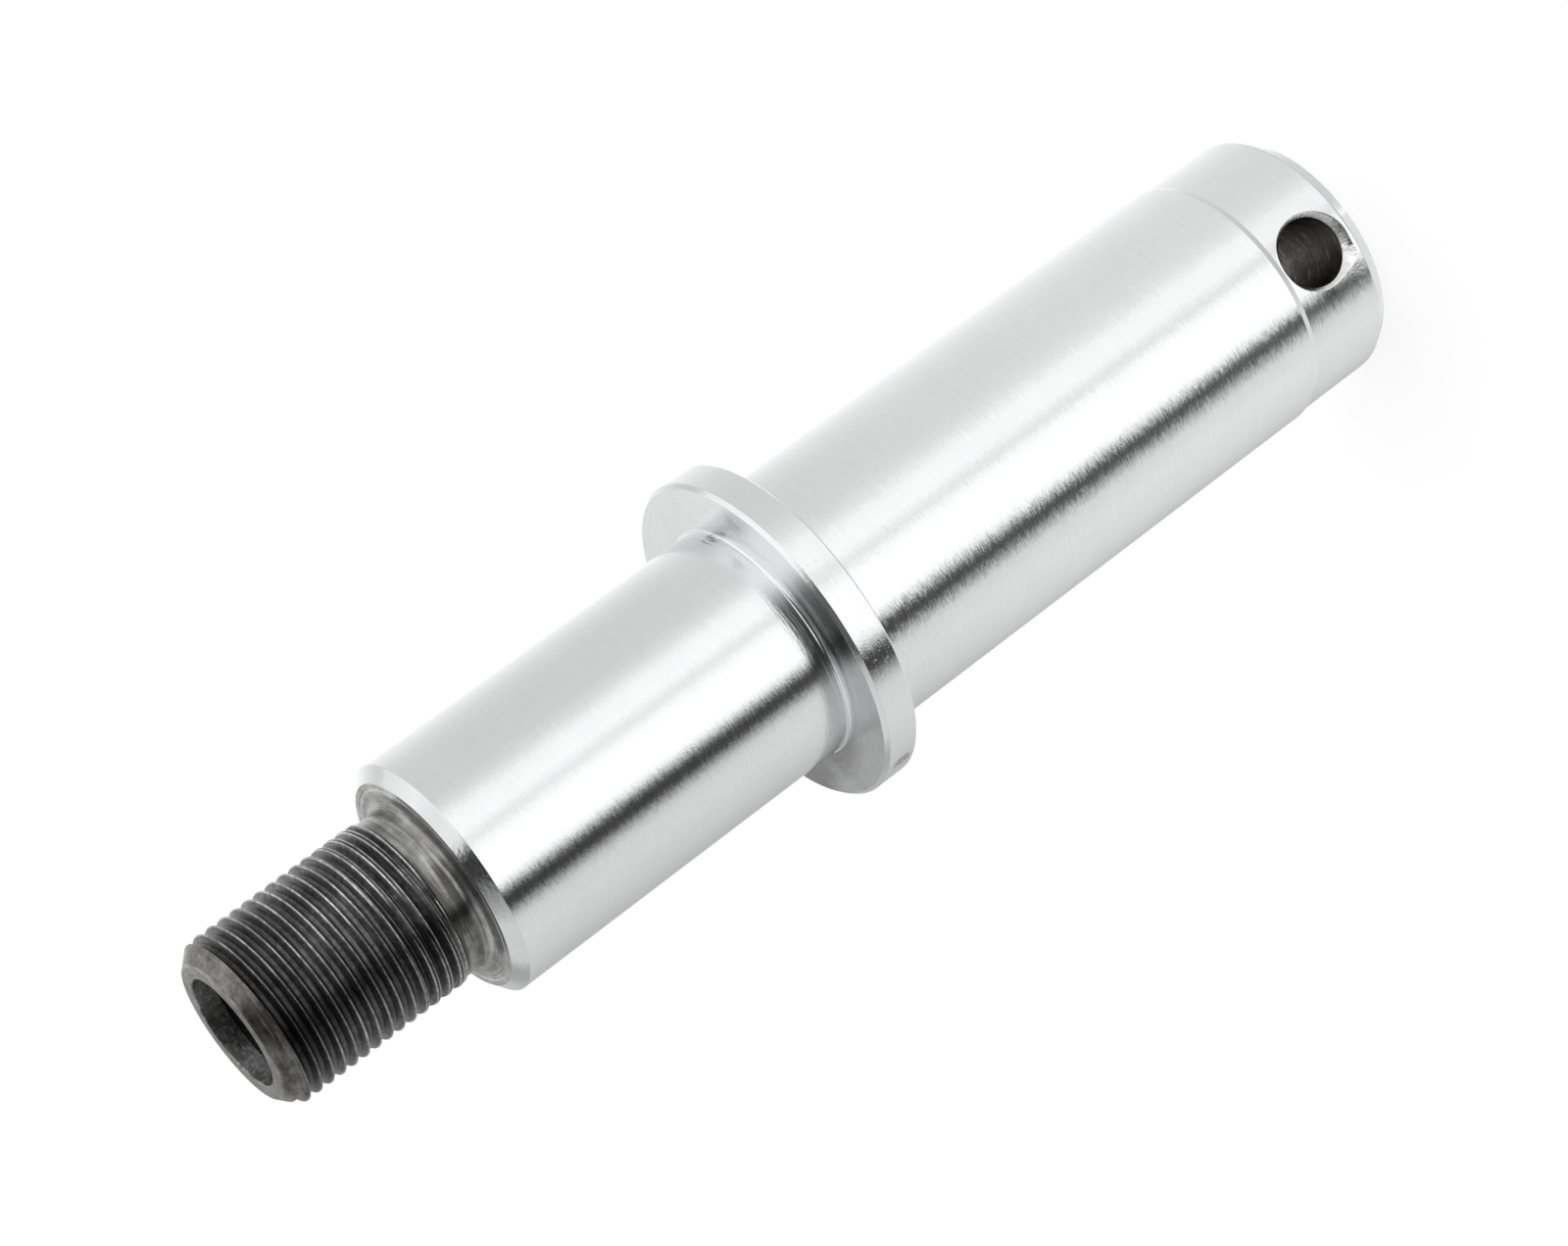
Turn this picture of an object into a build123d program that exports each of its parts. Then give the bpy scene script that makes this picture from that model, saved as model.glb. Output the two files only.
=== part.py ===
from build123d import *
import math
import os

# A brake shoe pin, turned from one steel bar. It stands on the flat end of its head,
# with the origin at the centre of that face, and +Z runs up the axis to the threaded end.
# All sizes are in millimetres.

# Head, the plain end that is drilled across
head_diameter = 30.5
head_length = 12.5
head_chamfer_length = 1.7
head_chamfer_depth = 1.0

# Cross hole through the head, open and countersunk at both sides
cross_hole_diameter = 8.1
cross_hole_height = 6.9
countersink_diameter = 10.2
countersink_angle = 90.0

# Long journal, between the head and the flange
long_journal_diameter = 31.0
long_journal_length = 65.0
head_step_length = 0.6

# Flange
flange_diameter = 39.5
flange_thickness = 4.3
flange_front_bevel = 0.45
flange_rear_bevel = 0.2

# Short journal, between the flange and the thread
short_journal_diameter = 28.0
short_journal_length = 45.0
shoulder_chamfer_length = 1.2
shoulder_chamfer_depth = 1.5

# Shallow relief that the grinding wheel runs out into at the foot of each journal, which
# gets deeper towards the flange, and the rounded corner between it and the flange
relief_length = 1.1
relief_depth = 0.12
relief_ramp = 0.12
relief_taper = 0.03
flange_corner_radius = 0.55

# Neck between the shoulder and the thread. Its fillet takes up the shoulder's step,
# apart from a flat ring inside the chamfer.
neck_diameter = 19.1
neck_straight_length = 0.9
shoulder_flat_width = 0.55

# Threaded end. The crests of an M20 x 1.5 thread lie on this diameter.
thread_crest_diameter = 19.85
thread_length = 22.4
thread_end_face_diameter = 16.3
thread_run_out_length = 0.5

# Blind hole in the threaded end, left by a drill
end_hole_diameter = 13.0
end_hole_depth = 2.4
drill_point_angle = 118.0

# Fillet between the shoulder and the neck, and the length that it gives the neck
shoulder_step = (short_journal_diameter - neck_diameter) / 2
neck_fillet_radius = shoulder_step - shoulder_chamfer_depth - shoulder_flat_width
neck_length = neck_fillet_radius + neck_straight_length

# Heights of the faces, added up from the head
head_top = head_length
flange_rear = head_top + long_journal_length
flange_front = flange_rear + flange_thickness
shoulder = flange_front + short_journal_length
thread_start = shoulder + neck_length
thread_end = thread_start + thread_length

# How far a cutting tool starts outside the surface that it cuts
tool_clearance = 1.0


def head_outline():
    """Outline of the head, from its flat end face up to the long journal."""
    radius = head_diameter / 2
    return [
        (0.0, 0.0),
        (radius - head_chamfer_depth, 0.0),
        (radius, head_chamfer_length),
        (radius, head_top - head_step_length),
    ]


def long_journal_outline():
    """Outline of the long journal, up to the corner under the flange."""
    radius = long_journal_diameter / 2
    relief_start = flange_rear - relief_length
    return [
        (radius, head_top),
        (radius, relief_start),
        (radius - relief_depth, relief_start + relief_ramp),
        (radius - relief_depth - relief_taper, flange_rear),
    ]


def flange_outline():
    """Outline of the flange, with a bevel at each rim edge."""
    radius = flange_diameter / 2
    return [
        (radius - flange_rear_bevel, flange_rear),
        (radius, flange_rear + flange_rear_bevel),
        (radius, flange_front - flange_front_bevel),
        (radius - flange_front_bevel, flange_front),
    ]


def short_journal_outline():
    """Outline of the short journal, from the flange to the edge of the shoulder face."""
    radius = short_journal_diameter / 2
    relief_end = flange_front + relief_length
    return [
        (radius - relief_depth - relief_taper, flange_front),
        (radius - relief_depth, relief_end - relief_ramp),
        (radius, relief_end),
        (radius, shoulder - shoulder_chamfer_length),
        (radius - shoulder_chamfer_depth, shoulder),
    ]


def threaded_end_outline():
    """Outline of the neck and of the plain cylinder that the thread's crests lie on."""
    neck_radius = neck_diameter / 2
    crest_radius = thread_crest_diameter / 2
    face_radius = thread_end_face_diameter / 2
    return [
        (neck_radius, shoulder),
        (neck_radius, thread_start),
        (crest_radius, thread_start + thread_run_out_length),
        (crest_radius, thread_end - (crest_radius - face_radius)),
        (face_radius, thread_end),
        (0.0, thread_end),
    ]


def corner_at(sketch, radius, height):
    """The corner of the outline at this radius and height."""
    spot = Vector(radius, 0, height)
    return sketch.vertices().sort_by_distance(spot)[0]


def turned_bar():
    """The whole bar, turned about Z, with its inside corners rounded as the tool leaves them."""
    outline = (
        head_outline()
        + long_journal_outline()
        + flange_outline()
        + short_journal_outline()
        + threaded_end_outline()
    )
    section = make_face(Polyline([(r, 0, z) for r, z in outline], close=True))
    deepest = relief_depth + relief_taper
    under_flange = corner_at(section, long_journal_diameter / 2 - deepest, flange_rear)
    section = fillet(under_flange, flange_corner_radius)
    over_flange = corner_at(section, short_journal_diameter / 2 - deepest, flange_front)
    section = fillet(over_flange, flange_corner_radius)
    neck_corner = corner_at(section, neck_diameter / 2, shoulder)
    section = fillet(neck_corner, neck_fillet_radius)
    return revolve(section, Axis.Z)


def cross_hole():
    """Drill and countersinks for the hole across the head, along Y."""
    drill_radius = cross_hole_diameter / 2
    sink_radius = countersink_diameter / 2
    slope = math.tan(math.radians(countersink_angle / 2))
    head_radius = head_diameter / 2
    tool = Cylinder(drill_radius, head_diameter + 2 * tool_clearance, rotation=(90, 0, 0))
    sink_depth = (sink_radius - drill_radius) / slope
    outer_radius = sink_radius + tool_clearance * slope
    sink = Cone(drill_radius, outer_radius, sink_depth + tool_clearance)
    middle = head_radius - sink_depth + (sink_depth + tool_clearance) / 2
    tool += Pos(0, -middle, 0) * Rot(90, 0, 0) * sink
    tool += Pos(0, middle, 0) * Rot(-90, 0, 0) * sink
    return Pos(0, 0, cross_hole_height) * tool


def end_hole():
    """Drill for the blind hole in the threaded end, with its point downwards."""
    radius = end_hole_diameter / 2
    point_length = radius / math.tan(math.radians(drill_point_angle / 2))
    outline = [
        (0, 0, thread_end + tool_clearance),
        (radius, 0, thread_end + tool_clearance),
        (radius, 0, thread_end - end_hole_depth),
        (0, 0, thread_end - end_hole_depth - point_length),
    ]
    return revolve(make_face(Polyline(outline, close=True)), Axis.Z)


def brake_shoe_pin():
    """The finished pin, as one solid."""
    return turned_bar() - cross_hole() - end_hole()


os.makedirs("parts", exist_ok=True)
export_step(brake_shoe_pin(), "parts/brake_shoe_pin.step")
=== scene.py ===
import math

import bmesh
import bpy
import numpy as np
from mathutils import Matrix


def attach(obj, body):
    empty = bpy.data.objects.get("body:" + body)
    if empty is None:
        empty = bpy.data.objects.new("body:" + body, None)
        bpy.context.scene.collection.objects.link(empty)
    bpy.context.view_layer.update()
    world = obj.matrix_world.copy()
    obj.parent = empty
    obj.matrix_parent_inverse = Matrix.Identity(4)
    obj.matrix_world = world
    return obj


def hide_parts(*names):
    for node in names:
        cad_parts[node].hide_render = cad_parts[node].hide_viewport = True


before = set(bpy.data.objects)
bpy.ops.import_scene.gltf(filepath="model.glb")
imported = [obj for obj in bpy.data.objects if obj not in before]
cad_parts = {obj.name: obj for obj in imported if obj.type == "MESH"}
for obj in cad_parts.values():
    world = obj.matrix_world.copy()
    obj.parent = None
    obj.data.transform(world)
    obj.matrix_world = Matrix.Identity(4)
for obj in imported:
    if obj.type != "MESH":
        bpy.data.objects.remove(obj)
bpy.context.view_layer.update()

# Sizes are in millimetres. Meshes and Blender's coordinates are in metres.
MM = 0.001
PER_METRE = 1000.0

# Shape of the pin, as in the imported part. Heights run up from the head's end face.
HEAD_RADIUS = 15.25
HEAD_CHAMFER_LENGTH = 1.7
HEAD_CHAMFER_DEPTH = 1.0
STEP_FOOT = 11.87
STEP_TOP = 12.64
LONG_RADIUS = 15.5
SHORT_RADIUS = 14.0
RELIEF_LENGTH = 1.1
RELIEF_FLAT = 0.98
RELIEF_DEPTH = 0.12
RELIEF_TAPER = 0.03
FLANGE_CORNER = 0.55
FLANGE_RADIUS = 19.75
FLANGE_REAR = 77.5
FLANGE_FRONT = 81.8
FLANGE_REAR_BEVEL = 0.2
FLANGE_FRONT_BEVEL = 0.45
SHOULDER = 126.8
SHOULDER_CHAMFER_LENGTH = 1.2
SHOULDER_CHAMFER_DEPTH = 1.5
NECK_RADIUS = 9.55
NECK_FILLET = 2.2
THREAD_START = 130.1
THREAD_END = 152.5
CREST_RADIUS = 9.925
END_FACE_RADIUS = 8.15
HOLE_HEIGHT = 6.9
HOLE_RADIUS = 4.05
SINK_DEPTH = 1.05
END_HOLE_RADIUS = 6.5
END_HOLE_DEPTH = 2.4
# Half of the drill point's angle, in degrees
POINT_HALF_ANGLE = 59
POINT_DEPTH = END_HOLE_RADIUS / math.tan(math.radians(POINT_HALF_ANGLE))

# A fine groove round the shoulder's face, with a V section
SCORE_RADIUS = 11.83
SCORE_HALF = 0.07
SCORE_DEPTH = 0.05

# Where the neck ends and the cone at the thread's end starts. The top of the cone is bare.
THREAD_FOOT = THREAD_START - 0.12
CONE_FOOT = THREAD_END - (CREST_RADIUS - END_FACE_RADIUS)
CONE_TOP = 0.9

# Steps round the pin, the radius of the innermost ring of each closed end, the longest run
# between two rings, and the most degrees that one step of a rounded corner turns
SEGMENTS = 192
FACE_CORE = 3.0
POINT_CORE = 1.0
LONGEST_BELOW = 6.0
LONGEST_ABOVE = 1.5
CORNER_STEP = 15

# Numbers of the finishes, in the order of FINISHES
GROUND, TURNED, FACE, EDGE, RIM, NECK, THREAD, END, WELL, POINT, BORE, SINK = range(12)

# The photograph looks at the pin this far round from the cross hole's axis
TURN = math.radians(5.3)


# Profile

def outward(start, end):
    """The normal (r, z) of a run of the profile, on the side of the air."""
    along = np.array(end[:2], float) - np.array(start[:2], float)
    return np.array([along[1], -along[0]]) / np.linalg.norm(along)


def rounded(points):
    """Rings (r, z, finish, normal) of a profile (r, z, corner radius, finish of the next run)."""
    first, last = points[0], points[-1]
    made = [(*first[:2], first[3], outward(first, points[1]))]
    for before, point, after in zip(points[:-2], points[1:-1], points[2:]):
        here = np.array(point[:2], float)
        radius, finish = point[2:]
        back = np.array(before[:2], float) - here
        ahead = np.array(after[:2], float) - here
        back_length, ahead_length = np.linalg.norm(back), np.linalg.norm(ahead)
        back, ahead = back / back_length, ahead / ahead_length
        half = math.acos(np.clip(back @ ahead, -1, 1)) / 2
        # an arc takes up less than half of the run at each side
        reach = min(radius / math.tan(half), 0.49 * back_length, 0.49 * ahead_length)
        radius = reach * math.tan(half)
        middle = back + ahead
        centre = here + middle / np.linalg.norm(middle) * radius / math.sin(half)
        start = here + back * reach - centre
        end = here + ahead * reach - centre
        side = math.copysign(1.0, start @ outward(before, point))
        turn = math.pi - 2 * half
        steps = max(3, int(math.degrees(turn) / CORNER_STEP) + 1)
        for k in range(steps + 1):
            t = k / steps
            spoke = (math.sin((1 - t) * turn) * start + math.sin(t * turn) * end) / math.sin(turn)
            p = centre + spoke
            made.append((p[0], p[1], before[3] if k == 0 else finish, side * spoke / radius))
    made.append((*last[:2], last[3], outward(points[-2], last)))
    return made


def dense(sparse, longest):
    """Rings with extra ones between, so that no run is longer than this."""
    out = [sparse[0]]
    for a, b in zip(sparse[:-1], sparse[1:]):
        length = math.hypot(b[0] - a[0], b[1] - a[1])
        parts = max(1, math.ceil(length / longest))
        for k in range(1, parts):
            t = k / parts
            r, z = a[0] + (b[0] - a[0]) * t, a[1] + (b[1] - a[1]) * t
            out.append((r, z, a[2], a[3] + (b[3] - a[3]) * t))
        out.append(b)
    return out


def lower_rings():
    """From the head's end face up to the thread's foot."""
    # radius, height, radius of the corner, finish of the next run
    profile = [
        (FACE_CORE, 0.0, 0, FACE),
        (HEAD_RADIUS - HEAD_CHAMFER_DEPTH, 0.0, 0.35, EDGE),
        (HEAD_RADIUS, HEAD_CHAMFER_LENGTH, 0.6, TURNED),
        (HEAD_RADIUS, STEP_FOOT, 0.03, TURNED),
        (LONG_RADIUS, STEP_TOP, 0.05, GROUND),
        (LONG_RADIUS, FLANGE_REAR - RELIEF_LENGTH, 0.05, GROUND),
        (LONG_RADIUS - RELIEF_DEPTH, FLANGE_REAR - RELIEF_FLAT, 0.05, GROUND),
        (LONG_RADIUS - RELIEF_DEPTH - RELIEF_TAPER, FLANGE_REAR, FLANGE_CORNER, FACE),
        (FLANGE_RADIUS - FLANGE_REAR_BEVEL, FLANGE_REAR, 0.06, RIM),
        (FLANGE_RADIUS, FLANGE_REAR + FLANGE_REAR_BEVEL, 0.06, RIM),
        (FLANGE_RADIUS, FLANGE_FRONT - FLANGE_FRONT_BEVEL, 0.08, EDGE),
        (FLANGE_RADIUS - FLANGE_FRONT_BEVEL, FLANGE_FRONT, 0.10, FACE),
        (SHORT_RADIUS - RELIEF_DEPTH - RELIEF_TAPER, FLANGE_FRONT, FLANGE_CORNER, GROUND),
        (SHORT_RADIUS - RELIEF_DEPTH, FLANGE_FRONT + RELIEF_FLAT, 0.05, GROUND),
        (SHORT_RADIUS, FLANGE_FRONT + RELIEF_LENGTH, 0.05, GROUND),
        (SHORT_RADIUS, SHOULDER - SHOULDER_CHAMFER_LENGTH, 0.08, EDGE),
        (SHORT_RADIUS - SHOULDER_CHAMFER_DEPTH, SHOULDER, 0.06, NECK),
        (SCORE_RADIUS + SCORE_HALF, SHOULDER, 0.02, NECK),
        (SCORE_RADIUS, SHOULDER - SCORE_DEPTH, 0.02, NECK),
        (SCORE_RADIUS - SCORE_HALF, SHOULDER, 0.02, NECK),
        (NECK_RADIUS, SHOULDER, NECK_FILLET, NECK),
        (NECK_RADIUS, THREAD_FOOT, 0, NECK),
    ]
    return dense(rounded(profile), LONGEST_BELOW)


def upper_rings():
    """From the bare top of the cone to the bottom of the blind hole."""
    depth = THREAD_END - END_HOLE_DEPTH
    core_depth = depth - POINT_DEPTH * (1 - POINT_CORE / END_HOLE_RADIUS)
    profile = [
        (END_FACE_RADIUS + CONE_TOP, THREAD_END - CONE_TOP, 0, END),
        (END_FACE_RADIUS, THREAD_END, 0.12, END),
        (END_HOLE_RADIUS, THREAD_END, 0.15, WELL),
        (END_HOLE_RADIUS, depth, 0.08, POINT),
        (POINT_CORE, core_depth, 0, POINT),
    ]
    return dense(rounded(profile), LONGEST_ABOVE)


# Thread

PITCH = 1.5
ROOT_RADIUS = 9.1
# Rows of one pitch: over the crest in half widths of it, then down a flank to the root's edge
CREST_ROWS = [-1.0, -0.7, -0.35, 0.0, 0.35, 0.7, 1.0]
FLANK_ROWS = [0.15, 0.45, 0.75, 1.0]
ROOT_EDGE = 0.67
FLANK_ANGLE = 60
# The crest falls this much to its edges, and the root dips this much within this half width
CREST_FALL = 0.08
ROOT_DIP = 0.05
ROOT_HALF = 0.165
# Half of the crest's width, which grows towards the neck, where the tool was drawn back
CREST_HALF = 0.10
CREST_WIDE = 0.27
WIDE_FROM = 133.0
WIDE_TO = 137.5
# The thread's groove ends this far from the neck, and gets deeper over the length after that.
# The land between them rises from the neck over its own length.
GROOVE_GAP = 0.25
GROOVE_RISE = 0.75
LAND_RISE = 0.55


def eased(share):
    """A share from 0 to 1, with a soft start and end."""
    share = np.clip(share, 0, 1)
    return share * share * (3 - 2 * share)


def thread_radius(offset, half):
    """Radius of the thread's form at this distance along the axis from a crest's middle."""
    away = np.abs(offset)
    crest = CREST_RADIUS - CREST_FALL * np.clip(away / half, 0, 1) ** 2
    flank = CREST_RADIUS - CREST_FALL - (away - half) * math.tan(math.radians(FLANK_ANGLE))
    root = ROOT_RADIUS + ROOT_DIP * np.clip((PITCH / 2 - away) / ROOT_HALF, 0, 1) ** 2
    return np.maximum(np.where(away < half, crest, flank), root)


def threaded_surface():
    """Rows of vertices on the helix, clipped between the neck and the bare end of the cone."""
    top = THREAD_END - CONE_TOP
    turns = np.arange(-2, int((top - THREAD_FOOT) / PITCH) + 3)
    around = np.arange(SEGMENTS + 1)[None, :] / SEGMENTS
    middle = THREAD_START + PITCH * (turns[:, None] + around)
    widening = eased((WIDE_TO - middle) / (WIDE_TO - WIDE_FROM))
    half = CREST_HALF + (CREST_WIDE - CREST_HALF) * widening
    flank = [half + share * (ROOT_EDGE - half) for share in FLANK_ROWS]
    crest = [share * half for share in CREST_ROWS]
    root = np.full_like(half, PITCH / 2)
    offset = np.stack([-row for row in flank[::-1]] + crest + flank + [root], 1)
    z = (middle[:, None] + offset).reshape(-1, SEGMENTS + 1)
    form = thread_radius(offset, half[:, None]).reshape(-1, SEGMENTS + 1)
    z = np.clip(z, THREAD_FOOT, top)
    fade = eased((z - THREAD_FOOT - GROOVE_GAP) / GROOVE_RISE)
    short = 1 - np.clip((z - THREAD_FOOT) / LAND_RISE, 0, 1)
    envelope = CREST_RADIUS - (CREST_RADIUS - NECK_RADIUS) * short ** 2
    r = envelope - (CREST_RADIUS - form) * fade
    r = np.minimum(r, END_FACE_RADIUS + THREAD_END - z)
    return r, z


# Mesh

# Vertices nearer than this become one
WELD = 0.0005
# A sharper bend than this shows as an edge
CREASE = math.radians(32)
# How far a vertex may be from a ring and still be on it
ON_RING = 0.0015
# The head is a plain cylinder from here up to its step
HEAD_PLAIN = 1.9


class Surface:
    """Vertices, faces and the faces' finishes, gathered one form after another."""

    def __init__(self):
        self.vertices = []
        self.faces = []
        self.finishes = []
        self.count = 0

    def add_points(self, points):
        """Add vertices, and return the number of the first."""
        first = self.count
        self.vertices.append(points)
        self.count += len(points)
        return first

    def add_face(self, corners, finish):
        self.faces.append(corners)
        self.finishes.append(finish)

    def add_rings(self, rings):
        """Add the bands between rings, and return the number of each ring's first vertex."""
        a = 2 * math.pi * np.arange(SEGMENTS) / SEGMENTS
        starts = []
        for r, z, _, _ in rings:
            points = np.stack([r * np.cos(a), r * np.sin(a), np.full(SEGMENTS, z)], 1)
            starts.append(self.add_points(points))
        for ring, low, high in zip(rings, starts, starts[1:]):
            for i in range(SEGMENTS):
                j = (i + 1) % SEGMENTS
                self.add_face((low + i, low + j, high + j, high + i), ring[2])
        return starts

    def add_cap(self, start, centre, upward, finish):
        """Close a ring, which starts at this vertex, with triangles to a centre."""
        top = self.add_points(np.array([centre]))
        for i in range(SEGMENTS):
            j = (i + 1) % SEGMENTS
            one, two = (i, j) if upward else (j, i)
            self.add_face((top, start + one, start + two), finish)

    def add_thread(self):
        """Add the helix, without the faces that clipping has left flat."""
        r, z = threaded_surface()
        row = SEGMENTS + 1
        a = 2 * math.pi * np.arange(row) / SEGMENTS
        grid = np.stack([r * np.cos(a), r * np.sin(a), z], 2)
        first = self.add_points(grid.reshape(-1, 3))
        for k in range(len(r) - 1):
            for i in range(SEGMENTS):
                if z[k, i] == z[k + 1, i] and z[k, i + 1] == z[k + 1, i + 1]:
                    continue
                p = first + k * row + i
                q = p + row
                middle = (z[k, i] + z[k + 1, i + 1]) / 2
                self.add_face((p, p + 1, q + 1, q), END if middle > CONE_FOOT else THREAD)


def pin_mesh():
    """The whole pin before the cross hole is cut, as one closed mesh."""
    surface = Surface()
    starts = surface.add_rings(lower_rings())
    surface.add_cap(starts[0], (0, 0, 0), False, FACE)
    starts = surface.add_rings(upper_rings())
    tip = THREAD_END - END_HOLE_DEPTH - POINT_DEPTH
    surface.add_cap(starts[-1], (0, 0, tip), True, POINT)
    surface.add_thread()

    mesh = bpy.data.meshes.new("brake_shoe_pin_surface")
    mesh.from_pydata((np.concatenate(surface.vertices) * MM).tolist(), [], surface.faces)
    mesh.polygons.foreach_set("material_index", surface.finishes)
    work = bmesh.new()
    work.from_mesh(mesh)
    bmesh.ops.remove_doubles(work, verts=work.verts, dist=WELD * MM)
    bmesh.ops.dissolve_degenerate(work, dist=WELD * MM, edges=work.edges)
    loose = [v for v in work.verts if not v.link_faces]
    bmesh.ops.delete(work, geom=loose, context="VERTS")
    bmesh.ops.recalc_face_normals(work, faces=work.faces)
    work.to_mesh(mesh)
    work.free()
    return mesh


# Cross hole

CUTTER_STEPS = 144
CUTTER_ANGLES = [2 * math.pi * (k + 0.5) / CUTTER_STEPS for k in range(CUTTER_STEPS)]
# Radius of a countersink's mouth across the pin, and how much wider it is along the pin
MOUTH_RADIUS = 4.50
MOUTH_SWELL = 0.26
# The near mouth is worn wider round one angle, over these degrees ahead of it and behind it
WORN_ANGLE = 234
WORN_REACH = 0.86
WORN_AHEAD = 13
WORN_BEHIND = 17
# It is a little tighter along the half turn that ends at this angle, in radians
TIGHT = 0.10
TIGHT_TO = 1.0
# The countersink's slope bends half way out and up. Where the mouth is wider than this, the
# bend moves in and up, over a length of mouth radius.
FLAT_FROM = 4.85
FLAT_OVER = 0.4
FLAT_IN = 0.2
FLAT_UP = 0.22
# The cutter's rings at the mouth lie this far inside and outside it, and then well outside
LIP = 0.06
BRINK = 0.05
BEYOND_OUT = 1.6
BEYOND_UP = 0.9
CUTTER_END = 2.5


def mouth_radius(angle, worn):
    """Radius of a countersink where it meets the head, at this angle round the hole."""
    radius = MOUTH_RADIUS + MOUTH_SWELL * abs(math.sin(angle)) ** 1.5
    if worn:
        # the burr was taken off by hand here, and the file bit into the edge
        away = (math.degrees(angle) - WORN_ANGLE + 180) % 360 - 180
        width = WORN_AHEAD if away > 0 else WORN_BEHIND
        radius += WORN_REACH * math.exp(-(away / width) ** 2)
        radius -= TIGHT * max(0, -math.sin(angle - TIGHT_TO))
    return radius


def head_surface(radius, angle):
    """How far out the head's surface is at this place round the cross hole."""
    return math.sqrt(HEAD_RADIUS ** 2 - (radius * math.cos(angle)) ** 2)


def sink_rings(side):
    """Rings of (radius, y) from the bore's edge outwards, on one side of the head."""
    wall = HEAD_RADIUS - SINK_DEPTH
    spokes = []
    for angle in CUTTER_ANGLES:
        mouth = mouth_radius(angle, side < 0)
        surface = head_surface(mouth, angle)
        flat = min(1.0, max(0.0, mouth - FLAT_FROM) / FLAT_OVER)
        bend = HOLE_RADIUS + (0.5 - FLAT_IN * flat) * (mouth - HOLE_RADIUS)
        bend_y = wall + (0.5 + FLAT_UP * flat) * (surface - wall)
        slope = (mouth - bend) / (surface - bend_y)
        brink = mouth + BRINK
        brink_y = head_surface(brink, angle)
        spokes.append([
            (HOLE_RADIUS, side * wall),
            (bend, side * bend_y),
            (mouth - LIP, side * (surface - LIP / slope)),
            (brink, side * brink_y),
            (brink + BEYOND_OUT, side * (brink_y + BEYOND_UP)),
        ])
    return list(zip(*spokes))


def hole_cutter():
    """The drill and both countersinks, as one closed mesh along Y."""
    work = bmesh.new()
    loops = []
    for ring in sink_rings(-1)[::-1] + sink_rings(1):
        loops.append([
            work.verts.new((r * math.cos(t) * MM, y * MM, (HOLE_HEIGHT + r * math.sin(t)) * MM))
            for t, (r, y) in zip(CUTTER_ANGLES, ring)
        ])
    bore = len(loops) // 2 - 1
    for index, (a, b) in enumerate(zip(loops[:-1], loops[1:])):
        for k in range(CUTTER_STEPS):
            j = (k + 1) % CUTTER_STEPS
            face = work.faces.new((a[k], a[j], b[j], b[k]))
            face.material_index = BORE if index == bore else SINK
    end = HEAD_RADIUS + CUTTER_END
    for loop, y in ((loops[0], -end), (loops[-1], end)):
        top = work.verts.new((0, y * MM, HOLE_HEIGHT * MM))
        for k in range(CUTTER_STEPS):
            work.faces.new((loop[k], loop[(k + 1) % CUTTER_STEPS], top))
    bmesh.ops.recalc_face_normals(work, faces=work.faces)
    mesh = bpy.data.meshes.new("cutter")
    work.to_mesh(mesh)
    work.free()
    return mesh


def sharpen(mesh):
    """Smooth shading inside each form, and sharp edges between forms and round the hole."""
    mesh.polygons.foreach_set("use_smooth", [True] * len(mesh.polygons))
    work = bmesh.new()
    work.from_mesh(mesh)
    for edge in work.edges:
        if len(edge.link_faces) == 2:
            finishes = {face.material_index for face in edge.link_faces}
            at_hole = len(finishes) == 2 and finishes & {BORE, SINK}
            edge.smooth = edge.calc_face_angle(0) < CREASE and not at_hole
    work.to_mesh(mesh)
    work.free()


def set_normals(mesh):
    """The profile's own normals on its rings, and straight ones on the head round the hole."""
    normals = np.array([tuple(n.vector) for n in mesh.corner_normals])
    corner = np.zeros(len(mesh.loops), int)
    mesh.loops.foreach_get("vertex_index", corner)
    place = np.zeros(3 * len(mesh.vertices))
    mesh.vertices.foreach_get("co", place)
    place = place.reshape(-1, 3) / MM
    radius = np.hypot(place[:, 0], place[:, 1])
    for r, z, _, (across, along) in lower_rings() + upper_rings():
        near = (abs(radius - r) < ON_RING) & (abs(place[:, 2] - z) < ON_RING)
        here = np.isin(corner, np.flatnonzero(near))
        out = place[corner[here]] / radius[corner[here], None]
        up = np.full(len(out), along)
        normals[here] = np.stack([out[:, 0] * across, out[:, 1] * across, up], 1)
    for polygon in mesh.polygons:
        if polygon.material_index != TURNED:
            continue
        if HEAD_PLAIN * MM < polygon.center.z < STEP_FOOT * MM:
            for loop in polygon.loop_indices:
                x, y, _ = place[corner[loop]]
                normals[loop] = (x / math.hypot(x, y), y / math.hypot(x, y), 0)
    mesh.normals_split_custom_set(normals.tolist())


def make_pin(materials):
    """The pin, as one object with its cross hole cut."""
    pin = bpy.data.objects.new("pin", pin_mesh())
    cutter = bpy.data.objects.new("cutter", hole_cutter())
    for obj in (pin, cutter):
        bpy.context.scene.collection.objects.link(obj)
        for material in materials:
            obj.data.materials.append(material)
    cut = pin.modifiers.new("cross_hole", "BOOLEAN")
    cut.operation = "DIFFERENCE"
    cut.solver = "EXACT"
    cut.object = cutter
    bpy.context.view_layer.update()
    cut_pin = pin.evaluated_get(bpy.context.evaluated_depsgraph_get())
    final = bpy.data.meshes.new_from_object(cut_pin)
    pin.modifiers.clear()
    pin.data = final
    bpy.data.objects.remove(cutter)
    sharpen(final)
    set_normals(final)
    return pin


# Shader nodes

def node(tree, kind, **settings):
    made = tree.nodes.new(kind)
    for key, value in settings.items():
        setattr(made, key, value)
    return made


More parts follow.
